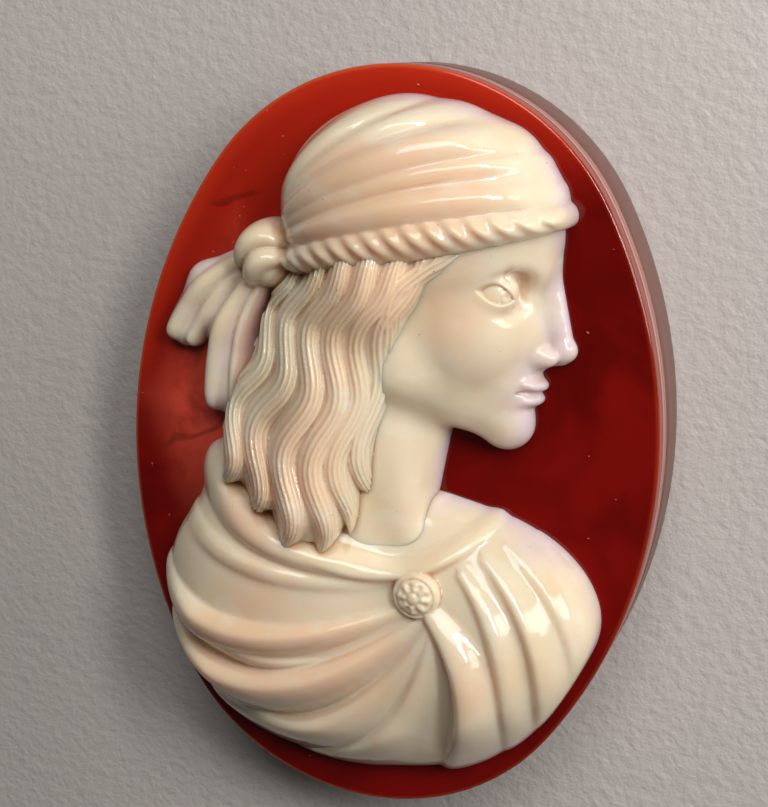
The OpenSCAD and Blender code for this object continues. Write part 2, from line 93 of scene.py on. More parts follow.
LIPS = [
    ((-0.5, 4.55, 0), (1.38, 0.58, 1.95), -12, 0.3),
    ((-0.62, 3.4, 0), (1.42, 0.62, 1.75), 4, 0.3),
]
# Line between the lips: places along it, radius, blend
LIP_LINE = [(1.3, 4.02, 0), (0.1, 4.0, 1.4), (-0.75, 3.9, 1.95), (-1.3, 3.8, 2.2)]
LIP_LINE_R, LIP_LINE_BLEND = 0.04, 0.28
NOSTRIL = ((0.72, 5.8, 0.72), (0.32, 0.14, 0.25), 0, 0.2)

# Eye: the ball and the lids over it, thicker above
EYE, EYE_R = (-2.8, 9.7, 2.95), 1.25
LID, LID_MORE, LID_BLEND = 0.15, 0.06, 0.5
# The opening: its corners, turned from the front, the outer one's height and the drop to the inner
# one, then the arches of both lids
OUTER, INNER = math.radians(114), math.radians(14)
OUTER_UP, INNER_DROP = 0.1, 0.2
LID_RISE, LID_FALL, ARCH, ARCH_SHIFT = 0.7, 0.5, 0.8, 0.85
LID_EDGE, EDGE_BLEND = 0.09, 0.08
# Line round the iris, pit of the pupil, and the fold over the upper lid
GAZE = (0.77, 0.03, 0.637)
IRIS_R, IRIS_W, IRIS_CUT = 0.44, 0.07, 0.05
PUPIL_R, PUPIL_CUT = 0.15, 0.09
CREASE_UP, CREASE_W, CREASE_CUT, CREASE_FAR = 0.42, 0.13, 0.1, 1.4

# Head cloth, cut along the line from the brow to the nape
CLOTH_MASSES = [
    ((-8.5, 12.5, 0), (8.8, 7.1, 6.4), 0, 1.0),
    ((-5.4, 13.2, 0), (5.2, 5.3, 5.2), 0, 1.4),
]
CLOTH_BROW = (-0.2, 14.0)
CLOTH_NAPE = (-17.0, 6.2)
CLOTH_CUT_BLEND = 0.5
CLOTH_FLAT, CLOTH_SOFT, BAND_SOFT = -0.25, 0.45, 0.08      # between the folds, and how softly they meet
CLOTH_EASE = (0.2, 1.5)      # low share of a fold's height at the outline, and depth where it is full
# Folds: start, bend, end, half-widths at the start, middle and end, height, skew
CLOTH_BAND = ((-0.1, 14.5), (-8.6, 12.2), (-16.8, 7.8), (0.85, 1.3, 0.95), 1.0, 0)
TWISTS, TWIST_LEAN, TWIST_HIGH = 15, 0.7, 0.1      # the band's turns, their slant and their relief
CLOTH_FOLDS = [
    ((0.6, 16.2), (-8.8, 14.8), (-16.6, 9.4), (0.6, 1.2, 0.5), 1.0, 0.3),
    ((-0.4, 17.8), (-9.6, 16.6), (-16.8, 9.9), (0.4, 0.7, 0.4), 0.65, 0.3),
    ((-1.6, 19.0), (-10.6, 18.2), (-17.0, 10.4), (0.6, 1.3, 0.5), 1.1, 0.3),
    ((-4.2, 20.6), (-12.2, 19.0), (-17.2, 10.8), (0.4, 0.8, 0.4), 0.7, 0.3),
    ((-8.4, 21.0), (-14.4, 18.4), (-17.4, 11.2), (0.5, 1.0, 0.5), 0.9, 0.3),
]
KNOT = ((-17.4, 8.4, 0.9), (1.9, 2.2, 2.7), 20, 0.2)
KNOT_FLAT, KNOT_SOFT = -0.2, 0.15
KNOT_FOLDS = [
    ((-15.8, 9.6), (-18.4, 10.8), (-19.2, 7.6), (0.5, 0.8, 0.5), 0.6, 0),
    ((-15.8, 8.6), (-17.6, 8.8), (-18.2, 6.4), (0.5, 0.7, 0.5), 0.5, 0),
]
# Two loose ends of the cloth, below the knot
TAILS = [
    ((-17.8, 7.6, 0.4), (-19.6, 3.4, 0.2), (1.1, 1.5), 0.6),
    ((-19.6, 3.4, 0.2), (-18.9, -0.9, 0.2), (1.5, 1.7), 0.8),
    ((-18.4, 8.0, 0.2), (-21.6, 5.4, 0.0), (1.0, 1.3), 0.6),
    ((-21.6, 5.4, 0.0), (-22.6, 2.4, 0.0), (1.3, 1.4), 0.8),
]
TAIL_FLAT, TAIL_SOFT, TAIL_BLEND = -0.3, 0.25, 0.15
TAIL_FOLDS = [
    ((-17.9, 7.4), (-20.9, 3.6), (-19.9, -1.8), (0.4, 0.7, 0.6), 0.6, 0.3),
    ((-17.4, 7.0), (-19.2, 3.4), (-17.9, -1.9), (0.4, 0.6, 0.6), 0.5, 0.3),
    ((-18.2, 8.2), (-21.9, 6.6), (-23.4, 2.0), (0.4, 0.7, 0.6), 0.5, 0.2),
    ((-18.4, 7.4), (-20.9, 5.6), (-21.9, 1.7), (0.3, 0.5, 0.5), 0.4, 0.2),
]

# Hair: masses and limbs under the locks
HAIR_MASSES = [
    ((-9.4, 9.0, 1.0), (4.3, 5.0, 5.6), 0, 1.0),
    ((-6.4, 11.2, 1.0), (3.6, 3.0, 4.5), 35, 1.2),
]
HAIR_LIMBS = [
    ((-11.0, 5.5, 1.6), (-11.2, -5.6, 4.2), (3.8, 2.9), 1.5),
    ((-13.2, 5.5, 0.2), (-15.2, -4.0, 2.6), (3.2, 2.7), 1.5),
]
HAIR_FLAT = (-0.35, -1.1)      # between the locks: at the top, and at their ends
HAIR_ENDS = (-1.0, -7.0)
LOCK_DIP = 0.8            # beside a lock the hair falls away by up to this share of its height
TIP, THIN = 5, 0.12       # a lock tapers over the last fifth of its length, to this share
LOCK_SOFT = 0.06
STRAND, STRAND_HIGH = 0.36, 0.07      # width and relief of the strands that a lock is cut into
# They wander by a share of their width, this often along a lock and out of step from lock to lock
STRAND_DRIFT, DRIFTS, DRIFT_PHASE = 0.3, 1.4, 2.3
STRAND_HALF = 0.6         # they get no finer where the lock's half-width is under this
LEAN, HAIR_TOP = 0.3, 6.0      # the locks' map leans, so that strands show on the side by the neck too
# Locks: start, bend, end, half-widths, height, waves, swing, phase
LOCKS = [
    ((-15.5, 8.2), (-18.2, 2.4), (-18.2, -4.4), (0.7, 1.0, 0.6), 0.75, 2.3, 0.5, 0.30),
    ((-14.2, 8.8), (-16.8, 1.6), (-16.8, -6.8), (0.7, 1.05, 0.6), 0.8, 2.4, 0.55, 0.24),
    ((-12.8, 9.4), (-15.2, 1.2), (-14.6, -8.6), (0.7, 1.05, 0.65), 0.85, 2.5, 0.58, 0.18),
    ((-11.4, 10.0), (-13.4, 1.2), (-12.0, -9.2), (0.7, 1.1, 0.7), 0.85, 2.5, 0.6, 0.12),
    ((-9.8, 10.6), (-11.8, 1.6), (-9.6, -8.8), (0.7, 1.05, 0.7), 0.85, 2.5, 0.6, 0.06),
    ((-8.0, 11.2), (-10.6, 2.6), (-8.3, -7.0), (0.7, 1.0, 0.6), 0.8, 2.4, 0.55, 0.0),
    ((-6.2, 12.0), (-9.9, 4.6), (-6.9, -5.4), (0.6, 0.95, 0.6), 0.75, 2.3, 0.45, 0.94),
    ((-4.4, 12.9), (-9.2, 9.6), (-8.0, 2.4), (0.5, 0.9, 0.4), 0.7, 1.8, 0.35, 0.8),
    ((-2.6, 13.5), (-8.0, 11.4), (-7.8, 5.2), (0.4, 0.85, 0.4), 0.65, 1.6, 0.32, 0.7),
    ((-1.2, 14.1), (-6.0, 13.2), (-7.3, 7.6), (0.3, 0.8, 0.4), 0.6, 1.4, 0.25, 0.6),
]

# Mantle, on the plate: the body under the cloth, then its folds
MANTLE_MASSES = [
    ((0.9, -12.0, 0), (15.0, 10.1, 4.6), 8, 1.0),    # chest and back
    ((-5.2, -9.8, 1.2), (8.6, 7.6, 5.2), 0, 2.0),    # near shoulder
    ((8.8, -10.2, 0), (6.9, 6.8, 5.0), 0, 2.0),      # breast
]
MANTLE_LIMBS = [((-9.4, -2.6, 0.6), (-6.0, -5.4, 1.2), (2.4, 3.0), 2.5)]
MANTLE_FLAT, MANTLE_SOFT = -0.35, 0.5
MANTLE_EASE = (0.25, 4)
MANTLE_FOLDS = [
    # Cloak, from the clasp round the shoulder
    ((-12.6, -1.0), (-7.2, -6.0), (3.4, -6.4), (1.3, 1.5, 0.9), 1.5, -0.2),
    ((-14.6, -4.0), (-8.4, -8.6), (3.6, -7.2), (0.7, 1.0, 0.5), 0.7, -0.3),
    ((-16.0, -8.0), (-9.4, -16.2), (4.4, -8.4), (1.2, 1.7, 0.5), 1.5, -0.35),
    ((-12.0, -11.8), (-6.6, -15.2), (-1.4, -13.2), (0.3, 0.9, 0.3), 0.9, -0.2),
    ((-16.2, -12.8), (-5.2, -21.2), (5.2, -9.0), (1.4, 2.2, 0.5), 1.8, -0.35),
    ((-13.0, -17.2), (-5.2, -20.8), (0.0, -18.4), (0.4, 1.0, 0.3), 0.8, -0.2),
    ((-11.4, -19.2), (0.0, -23.2), (5.9, -9.4), (1.3, 1.9, 0.5), 1.4, -0.35),
    ((-3.6, -22.3), (4.4, -21.8), (6.2, -9.8), (1.2, 1.7, 0.5), 1.3, -0.35),
    ((5.8, -8.8), (11.2, -13.4), (7.0, -22.2), (0.8, 1.8, 1.6), 1.8, 0.4),
    # Dress, from the neckline down the breast
    ((-3.4, -5.4), (3.4, -9.0), (8.6, -2.6), (0.7, 0.8, 0.8), 1.1, 0.2),
    ((7.4, -5.8), (12.4, -9.6), (11.2, -19.4), (0.5, 1.1, 0.9), 1.0, 0.25),
    ((8.6, -4.6), (15.0, -8.8), (13.2, -18.0), (0.5, 1.1, 0.9), 1.0, 0.25),
    ((9.8, -3.6), (17.2, -8.0), (15.2, -15.6), (0.5, 1.1, 0.9), 1.0, 0.25),
    ((11.4, -3.2), (18.6, -7.0), (17.0, -12.8), (0.5, 1.0, 0.8), 0.9, 0.25),
]
CLASP = ((4.8, -7.5, 4.9), (1.6, 1.6, 1.1), 0, 0.1)
BOSS_R, RING_R, RING_CUT, RING_W = 0.42, 1.2, 0.14, 0.1      # grooves round the clasp's boss and petals
PETALS, PETALS_R, PETALS_CUT, PETALS_W = 8, 0.82, 0.12, 0.26
# The mantle stops this far inside the plate's rim, and rounds off over this much
RIM_ROOM, RIM_BLEND = 0.8, 1


# Distances

def clamp(v, low=0.0, high=1.0):
    return np.clip(v, low, high)


def bell(v, middle, width):
    return np.exp(-((v - middle) / width) ** 2)


def smooth_min(a, b, k):
    h = np.maximum(k - np.abs(a - b), 0) / k
    return np.minimum(a, b) - h * h * (k / 4)


def smooth_max(a, b, k):
    return -smooth_min(-a, -b, k)


def to_mass(p, mass):
    """Distance to an ellipsoid, below zero inside."""
    centre, radii, turn, _ = mass
    x, y, z = p[0] - centre[0], p[1] - centre[1], p[2] - centre[2]
    if turn:
        c, s = math.cos(math.radians(turn)), math.sin(math.radians(turn))
        x, y = x * c + y * s, y * c - x * s
    x, y, z = x / radii[0], y / radii[1], z / radii[2]
    near = np.sqrt(x * x + y * y + z * z)
    slope = np.sqrt((x / radii[0]) ** 2 + (y / radii[1]) ** 2 + (z / radii[2]) ** 2)
    return near * (near - 1) / np.maximum(slope, 1e-6)


def to_limb(p, limb):
    """Distance to a cone with round ends."""
    a, b, radii, _ = limb
    line = [b[i] - a[i] for i in range(3)]
    off = [p[i] - a[i] for i in range(3)]
    along = clamp(sum(off[i] * line[i] for i in range(3)) / sum(v * v for v in line))
    gap = sum((off[i] - along * line[i]) ** 2 for i in range(3))
    return np.sqrt(gap) - radii[0] - along * (radii[1] - radii[0])


def join(p, shapes, distance, d=None):
    for shape in shapes:
        e = distance(p, shape)
        d = e if d is None else smooth_min(d, e, shape[3])
    return d


def to_path(p, points, radius):
    """Distance to a thin round cord through some points."""
    return np.minimum.reduce([
        to_limb(p, (a, b, (radius, radius), 0)) for a, b in zip(points, points[1:])
    ])


# Lines of folds and locks, and the ridges along them

def on_curve(fold, t):
    a, b, c = (np.array(v, float) for v in fold[:3])
    return (1 - t) ** 2 * a + 2 * t * (1 - t) * b + t * t * c


def fold_line(fold, n=24):
    return on_curve(fold, np.linspace(0, 1, n + 1)[:, None])


def lock_line(lock, n=40):
    t = np.linspace(0, 1, n + 1)[:, None]
    a, b, c = (np.array(v, float) for v in lock[:3])
    heading = (1 - t) * (b - a) + t * (c - b)
    heading /= np.linalg.norm(heading, axis=1, keepdims=True)
    waves, swing, phase = lock[5:8]
    off = swing * np.sin(2 * math.pi * (waves * t + phase)) * np.minimum(1, 4 * t)
    return on_curve(lock, t) + off * np.stack([-heading[:, 1], heading[:, 0]], 1)


def nearest(x, y, line):
    """Distance to a line, the side, and the share of the way along."""
    best = np.full(x.shape, 1e9)
    side = np.zeros(x.shape)
    place = np.zeros(x.shape)
    for i, (a, b) in enumerate(zip(line, line[1:])):
        dx, dy = b - a
        along = clamp(((x - a[0]) * dx + (y - a[1]) * dy) / (dx * dx + dy * dy))
        gx, gy = x - a[0] - along * dx, y - a[1] - along * dy
        d = np.hypot(gx, gy)
        closer = d < best
        best = np.where(closer, d, best)
        side = np.where(closer, np.sign(dx * gy - dy * gx), side)
        place = np.where(closer, (i + along) / (len(line) - 1), place)
    return best, side, place


def width_at(w, t):
    return (1 - t) ** 2 * w[0] + t * (1 - t) * (4 * w[1] - w[0] - w[2]) + t * t * w[2]


FOLD_DIP = 0.3      # beside a fold the cloth dips by this share of its height


def section(q):
    """Section of a fold: 1 on its ridge, 0 at its half-width."""
    return clamp(1 - q * q, -FOLD_DIP, 1)


def ridge(x, y, fold):
    widths, high, skew = fold[3:6]
    d, side, t = nearest(x, y, fold_line(fold))
    w = width_at(widths, t)
    return high * w / max(widths) * section(d / (w * (1 + skew * side)))


def eased(depth, ease):
    """Share of a fold's height at a depth inside the outline."""
    low, full = ease
    u = clamp(depth / full)
    return low + (1 - low) * u * u * (3 - 2 * u)


def to_head(p):
    x, y = (p[0] - HEAD_AT[0]) / HEAD_SIZE, (p[1] - HEAD_AT[1]) / HEAD_SIZE
    c, s = math.cos(HEAD_BOW), math.sin(HEAD_BOW)
    return x * c + y * s, y * c - x * s, (p[2] - HEAD_AT[2]) / HEAD_SIZE


class Sheet:
    """Heights over the plate, worked out once on a fine grid and read between its points."""

    def __init__(self, rule, low, high, step):
        self.low, self.step = low, step
        self.n = [int((high[i] - low[i]) / step) + 2 for i in range(2)]
        x, y = np.meshgrid(
            low[0] + step * np.arange(self.n[0]), low[1] + step * np.arange(self.n[1]), indexing="ij"
        )
        self.values = rule(x, y)

    def __call__(self, x, y):
        u = clamp((x - self.low[0]) / self.step, 0, self.n[0] - 1.001)
        v = clamp((y - self.low[1]) / self.step, 0, self.n[1] - 1.001)
        i, j = u.astype(int), v.astype(int)
        u, v = u - i, v - j
        a = self.values
        near = a[i, j] * (1 - u) + a[i + 1, j] * u
        far = a[i, j + 1] * (1 - u) + a[i + 1, j + 1] * u
        return near * (1 - v) + far * v


def over(x, y, folds, flat, soft):
    m = np.full(x.shape, flat)
    for f in folds:
        m = smooth_max(m, ridge(x, y, f), soft)
    return m


def cloth_folds(x, y):
    """A rolled band over the brow, twisted like a rope, then the folds of the cap."""
    hx, hy, _ = to_head((x, y, 0))
    m = over(hx, hy, CLOTH_FOLDS, CLOTH_FLAT, CLOTH_SOFT)
    m = m * eased(-to_mass((hx, hy, 0), CLOTH_MASSES[0]), CLOTH_EASE)
    d, side, t = nearest(hx, hy, fold_line(CLOTH_BAND))
    q = d / width_at(CLOTH_BAND[3], t)
    twist = TWIST_HIGH * np.cos(2 * math.pi * (TWISTS * t + TWIST_LEAN * q * side)) * clamp(1.3 - q)
    return smooth_max(m, CLOTH_BAND[4] * section(q) + twist, BAND_SOFT)


def knot_folds(x, y):
    hx, hy, _ = to_head((x, y, 0))
    return over(hx, hy, KNOT_FOLDS, KNOT_FLAT, KNOT_SOFT)


def tail_folds(x, y):
    hx, hy, _ = to_head((x, y, 0))
    return over(hx, hy, TAIL_FOLDS, TAIL_FLAT, TAIL_SOFT)


def hair_folds(x, y):
    """Locks as raised ridges, each cut into strands that run along it."""
    hx, hy, _ = to_head((x, y, 0))
    down = clamp((HAIR_ENDS[0] - hy) / (HAIR_ENDS[0] - HAIR_ENDS[1]))
    m = HAIR_FLAT[0] + (HAIR_FLAT[1] - HAIR_FLAT[0]) * down
    for lock in LOCKS:
        widths, high, phase = lock[3], lock[4], lock[7]
        d, side, t = nearest(hx, hy, lock_line(lock))
        w = width_at(widths, t) * np.maximum(THIN, np.sqrt(clamp(TIP * (1 - t))))
        q = d / w
        body = high * (w / max(widths) * clamp(1 - q * q) - clamp(q - 1, 0, LOCK_DIP))
        drift = STRAND_DRIFT * np.sin(2 * math.pi * (DRIFTS * t + DRIFT_PHASE * phase))
        across = d * side / (np.maximum(w, STRAND_HALF) / max(widths) * STRAND)
        fade = clamp(2.5 * (1.1 - q)) * clamp(2 * w) * clamp(9 * (1 - t))      # at the sides and the tip
        strands = STRAND_HIGH * np.cos(2 * math.pi * (across + drift)) * fade
        m = smooth_max(m, body + strands, LOCK_SOFT)
    return m


def mantle_folds(x, y):
    m = over(x, y, MANTLE_FOLDS, MANTLE_FLAT, MANTLE_SOFT)
    return m * eased(-mantle_body((x, y, np.zeros(x.shape))), MANTLE_EASE)


# Forms: distances in the plate's frame, with z counted from the ground

def with_eye(h, d):
    """A ball seen through an almond opening in the lids, with a crease over the upper lid."""
    away = [h[i] - EYE[i] for i in range(3)]
    r = np.maximum(np.sqrt(sum(a * a for a in away)), 0.1)
    share = clamp((OUTER - np.arctan2(away[2], away[0])) / (OUTER - INNER))
    arch = np.sin(math.pi * share) ** ARCH
    rise = EYE_R * away[1] / r
    upper = OUTER_UP - INNER_DROP * share + LID_RISE * np.sin(math.pi * share ** ARCH_SHIFT) ** ARCH
    lower = OUTER_UP - INNER_DROP * share - LID_FALL * arch
    d = smooth_min(d, r - EYE_R - LID - LID_MORE * clamp(rise + 0.5), LID_BLEND)
    off = EYE_R * np.sqrt(np.maximum(2 - 2 * sum(a * g for a, g in zip(away, GAZE)) / r, 0))
    carved = IRIS_CUT * bell(off, IRIS_R, IRIS_W) + PUPIL_CUT * bell(off, 0, PUPIL_R)
    opening = np.maximum(np.maximum(rise - upper, lower - rise) + LID_EDGE, EYE_R - carved - r)
    d = smooth_max(d, -opening, EDGE_BLEND)
    crease = CREASE_CUT * bell(rise - upper, CREASE_UP, CREASE_W) * arch
    return d + crease * clamp(EYE_R + CREASE_FAR - r)


def with_mouth(h, d):
    d = join(h, LIPS, to_mass, d)
    d = smooth_max(d, -to_path(h, LIP_LINE, LIP_LINE_R), LIP_LINE_BLEND)
    return smooth_max(d, -to_mass(h, NOSTRIL), NOSTRIL[3])


def face(p):
    h = to_head(p)
    d = join(h, HEAD_LIMBS, to_limb, join(h, HEAD_MASSES, to_mass))
    d = smooth_max(d, -to_mass(h, SOCKET), SOCKET[3])
    nose = join(h, NOSE_MASSES, to_mass, to_limb(h, NOSE_BRIDGE))
    nose = smooth_min(nose, to_limb(h, NOSE_BASE), NOSE_BASE[3])
    d = smooth_min(d, nose, NOSE_BRIDGE[3])
    return HEAD_SIZE * with_mouth(h, with_eye(h, d))


def cloth(p):
    h = to_head(p)
    edge = [CLOTH_NAPE[i] - CLOTH_BROW[i] for i in range(2)]
    cut = ((h[1] - CLOTH_BROW[1]) * edge[0] - (h[0] - CLOTH_BROW[0]) * edge[1]) / math.hypot(*edge)
    wrap = smooth_max(join(h, CLOTH_MASSES, to_mass), cut, CLOTH_CUT_BLEND) - CLOTH_SHEET(p[0], p[1])
    knot = to_mass(h, KNOT) - KNOT_SHEET(p[0], p[1])
    tails = join(h, TAILS, to_limb) - TAIL_SHEET(p[0], p[1])
    return HEAD_SIZE * smooth_min(smooth_min(wrap, knot, KNOT[3]), tails, TAIL_BLEND)


def hair(p):
    h = to_head(p)
    d = join(h, HAIR_LIMBS, to_limb, join(h, HAIR_MASSES, to_mass))
    return HEAD_SIZE * (d - HAIR_SHEET(p[0] - LEAN * (p[2] - HAIR_TOP), p[1]))


def mantle_body(p):
    return join(p, MANTLE_LIMBS, to_limb, join(p, MANTLE_MASSES, to_mass))


def to_rim(x, y):
    """Distance to the plate's oval wall."""
    x, y = np.abs(x), np.abs(y)
    end = np.hypot(x, y - END_Y) - END_R
    side = np.hypot(x + SIDE_X, y) - SIDE_R
    return np.where((y - END_Y) * SIDE_X > x * END_Y, end, side)


def clasp(p):
    """A round clasp: a boss in a ring of eight petals and a raised rim."""
    x, y = p[0] - CLASP[0][0], p[1] - CLASP[0][1]
    r = np.hypot(x, y)
    petals = PETALS_CUT * (np.cos(PETALS * np.arctan2(y, x)) - 1) * bell(r, PETALS_R, PETALS_W)
    rings = RING_CUT * bell(r, BOSS_R, RING_W) + RING_CUT * bell(r, RING_R, RING_W)
    return to_mass(p, CLASP) + rings - petals


def mantle(p):
    d = np.minimum(mantle_body(p) - MANTLE_SHEET(p[0], p[1]), clasp(p))
    return smooth_max(d, to_rim(p[0], p[1]) + RIM_ROOM, RIM_BLEND)


def whole_bust(p):
    return np.minimum.reduce([face(p), cloth(p), hair(p), mantle(p)])


# Surface nets

SUNK = 0.15      # how far the forms reach into the ground
BLOCK = 4        # cells along a block
CORNER = 1.9     # a block's corner is the root of 3 half-sides from its middle, taken a little larger
SPARE = 0.5      # how much nearer than its distance says the surface may be to a block


def grid_of(form, low, high, cell):
    """Distances on a grid; only blocks that the surface may cross are worked out in full."""
    n = [int(math.ceil((high[i] - low[i]) / cell / BLOCK)) for i in range(3)]
    half = BLOCK * cell / 2
    mids = np.meshgrid(*[low[i] + half + 2 * half * np.arange(n[i]) for i in range(3)], indexing="ij")
    rough = form([m.ravel() for m in mids]).reshape(n)
    values = np.kron(np.sign(rough), np.ones((BLOCK,) * 3)).astype(np.float32)
    hot = np.argwhere(np.abs(rough) < CORNER * half + SPARE)
    inner = np.array(np.meshgrid(*[np.arange(BLOCK)] * 3, indexing="ij")).reshape(3, -1).T
    index = (hot[:, None, :] * BLOCK + inner[None]).reshape(-1, 3)
    points = [low[i] + cell * index[:, i] for i in range(3)]
    values[tuple(index.T)] = form(points)
    return values


def surface_net(form, low, high, cell):
    """Vertices and quads of the surface where a form's distance is zero."""
    def closed(p):
        return np.maximum(form(p), -SUNK - p[2])

    v = grid_of(closed, low, high, cell)
    inside = v < 0
    cells = [s - 1 for s in v.shape]
    total = np.zeros((int(np.prod(cells)), 3))
    count = np.zeros(total.shape[0])
    quads = []
    for axis in range(3):
        u, w = (axis + 1) % 3, (axis + 2) % 3
        first = [slice(None)] * 3
        second = [slice(None)] * 3
        first[axis], second[axis] = slice(None, -1), slice(1, None)
        for k in (u, w):
            first[k] = second[k] = slice(1, -1)
        a, b = v[tuple(first)], v[tuple(second)]
        start = inside[tuple(first)]
        at = np.argwhere(start != inside[tuple(second)])
        va, vb = a[tuple(at.T)], b[tuple(at.T)]
        place = at.astype(float)
        place[:, axis] += va / (va - vb)
        place[:, u] += 1
        place[:, w] += 1
        corner = []
        for du, dw in ((0, 0), (1, 0), (1, 1), (0, 1)):
            c = at.copy()
            c[:, u] += du
            c[:, w] += dw
            flat = np.ravel_multi_index(tuple(c.T), cells)
            corner.append(flat)
            count += np.bincount(flat, minlength=count.size)
            for k in range(3):
                total[:, k] += np.bincount(flat, weights=place[:, k], minlength=count.size)
        q = np.stack(corner, 1)
        flip = start[tuple(at.T)]
        quads.append(np.where(flip[:, None], q, q[:, ::-1]))
    used = np.nonzero(count)[0]
    lookup = np.zeros(count.size, int)
    lookup[used] = np.arange(used.size)
    points = np.array(low) + cell * total[used] / count[used, None]
    return settle(closed, points, cell), lookup[np.concatenate(quads)]


def slope(form, points, h=0.01):
    """How fast a form's distance grows along each axis."""
    g = []
    for k in range(3):
        ahead, behind = points.copy(), points.copy()
        ahead[:, k] += h
        behind[:, k] -= h
        g.append((form(ahead.T) - form(behind.T)) / (2 * h))
    return np.stack(g, 1)


def settle(form, points, cell):
    """Moves vertices onto the true surface, half a cell at most in each round."""
    for _ in range(2):
        g = slope(form, points)
        d = form(points.T)
        move = g * (d / np.maximum((g * g).sum(1), 0.2))[:, None]
        length = np.linalg.norm(move, axis=1, keepdims=True)
        points = points - move * np.minimum(1, 0.5 * cell / np.maximum(length, 1e-9))
    return points


def cavity(points, normals, reach):
    """How far a place is shut in, which sets the painted shade in grooves and hollows: 0 on an open face,
    1 deep in a narrow cut.
    """
    d = whole_bust((points + reach * normals).T)
    return clamp(1 - d / reach)


# Meshes

def new_mesh(name, points, faces, attributes, material, smooth=True):
    mesh = bpy.data.meshes.new(name)
    mesh.from_pydata((np.asarray(points) * MM).tolist(), [], faces)
    for key, values in attributes.items():
        layer = mesh.attributes.new(key, "FLOAT", "POINT")
        layer.data.foreach_set("value", np.asarray(values, dtype=np.float32))
    if smooth:
        mesh.polygons.foreach_set("use_smooth", [True] * len(mesh.polygons))
    mesh.validate()
    obj = bpy.data.objects.new(name, mesh)
    obj.data.materials.append(material)
    bpy.context.scene.collection.objects.link(obj)
    return obj


def fit_to_frame(meshes):
    """One scale for all the relief's meshes, so that they fill the solid's box."""
    every = np.concatenate([m[1] for m in meshes])
    low, high = every.min(0), every.max(0)
    low[2] = 0.0
    start, end = (np.array(corner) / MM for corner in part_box("bust_relief"))
    scale = (end - start) / (high - low)
    return [(name, start + scale * (points - low), *rest) for name, points, *rest in meshes]


HIDDEN = 0.5          # a face this deep inside another piece can't be seen
UNDERSIDE = 0.05      # nor can one this near the bottom


def in_sight(form, points, quads):
    """Drops the underside, which stands in the ground, and what lies deep inside other pieces."""
    mids = points[quads].mean(1)
    others = np.minimum.reduce([other(mids.T) for _, other, *_ in CARVED if other is not form])
    kept = quads[(mids[:, 2] > UNDERSIDE - SUNK) & (others > -HIDDEN)]
    used, kept = np.unique(kept, return_inverse=True)
    return points[used], kept.reshape(-1, 4)


GROOVE_SHADE_REACH, HOLLOW_SHADE_REACH = 0.3, 1.4      # reach of the painted shade for narrow grooves and for wide hollows


def make_bust():
    stone = cream_stone()
    meshes = []
    coarser = 1
    for name, form, low, high, cell, share in CARVED:
        points, quads = in_sight(form, *surface_net(form, low, high, cell * coarser))
        normals = slope(whole_bust, points)
        normals /= np.maximum(np.linalg.norm(normals, axis=1, keepdims=True), 1e-6)
        # Painted shade: how shut in each place is, which the stone's material turns into warm brown in
        # grooves and hollows; share weakens it on the hair
        painted_shade = {
            "groove": share * cavity(points, normals, GROOVE_SHADE_REACH),
            "hollow": share * cavity(points, normals, HOLLOW_SHADE_REACH),
        }
        meshes.append((name, points, quads, painted_shade))
    for name, points, quads, painted_shade in fit_to_frame(meshes):
        obj = new_mesh(name, points, quads.tolist(), painted_shade, stone)
        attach(obj, "root")
        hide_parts("bust_relief")


# The oval plate: points round it, steps round its edge, heights of the rings on a wall as shares,
# and insets of the rings on its faces

AROUND, EDGE_STEPS = 240, 5
UPWARD = [0.3, 0.5, 0.7]
INWARD = [0.35, 0.7, 1.2, 2.0, 3.2, 5.0, 7.5, 10.5]


def oval(n, inset=0.0):
    """Points round the oval, four arcs drawn in by an inset."""
    corner = math.atan2(END_Y, SIDE_X)
    arcs = [
        ((-SIDE_X, 0.0), SIDE_R, -corner, corner),
        ((0.0, END_Y), END_R, corner, math.pi - corner),
        ((SIDE_X, 0.0), SIDE_R, math.pi - corner, math.pi + corner),
        ((0.0, -END_Y), END_R, math.pi + corner, 2 * math.pi - corner),
    ]
    lengths = [r * (b - a) for _, r, a, b in arcs]
    points = []
    for (centre, r, a, b), length in zip(arcs, lengths):
        m = round(n * length / sum(lengths))
        for i in range(m):
            t = a + (b - a) * i / m
            points.append((centre[0] + (r - inset) * math.cos(t), centre[1] + (r - inset) * math.sin(t)))
    return np.array(points)


def plate_layer(name, z0, z1, low_cut, high_cut, material, node):
    """One layer: rings up the wall, round the edge and in over both faces."""
    rings = []

    def rounded(cut, z, sign):
        angles = [math.pi / 2 * i / EDGE_STEPS for i in range(EDGE_STEPS + 1)]
        return [(cut * (1 - math.sin(a)), z + sign * cut * (1 - math.cos(a))) for a in angles]

    profile = [(cut, z0) for cut in reversed(INWARD)]
    profile += rounded(low_cut, z0, 1) if low_cut else [(0.0, z0)]
    profile += [(0.0, z0 + (z1 - z0) * t) for t in UPWARD]
    profile += rounded(high_cut, z1, -1)[::-1] if high_cut else [(0.0, z1)]
    profile += [(cut, z1) for cut in INWARD]
    for inset, z in profile:
        ring = oval(AROUND, inset)
        rings.append(np.column_stack([ring, np.full(len(ring), z)]))
    n = len(rings[0])
    points = np.concatenate(rings + [np.array([[0, 0, z0], [0, 0, z1]])])
    rim = np.concatenate([np.full(n, inset) for inset, _ in profile] + [np.full(2, END_R)])
    faces = []
    for j in range(len(rings) - 1):
        for i in range(n):
            k = (i + 1) % n
            faces.append((j * n + i, j * n + k, (j + 1) * n + k, (j + 1) * n + i))
    last = (len(rings) - 1) * n
    for i in range(n):
        k = (i + 1) % n
        faces.append((k, i, len(points) - 2))
        faces.append((last + i, last + k, len(points) - 1))
    obj = new_mesh(name, points, faces, {"rim": rim}, material)
    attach(obj, "root")
    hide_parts(node)


# Materials

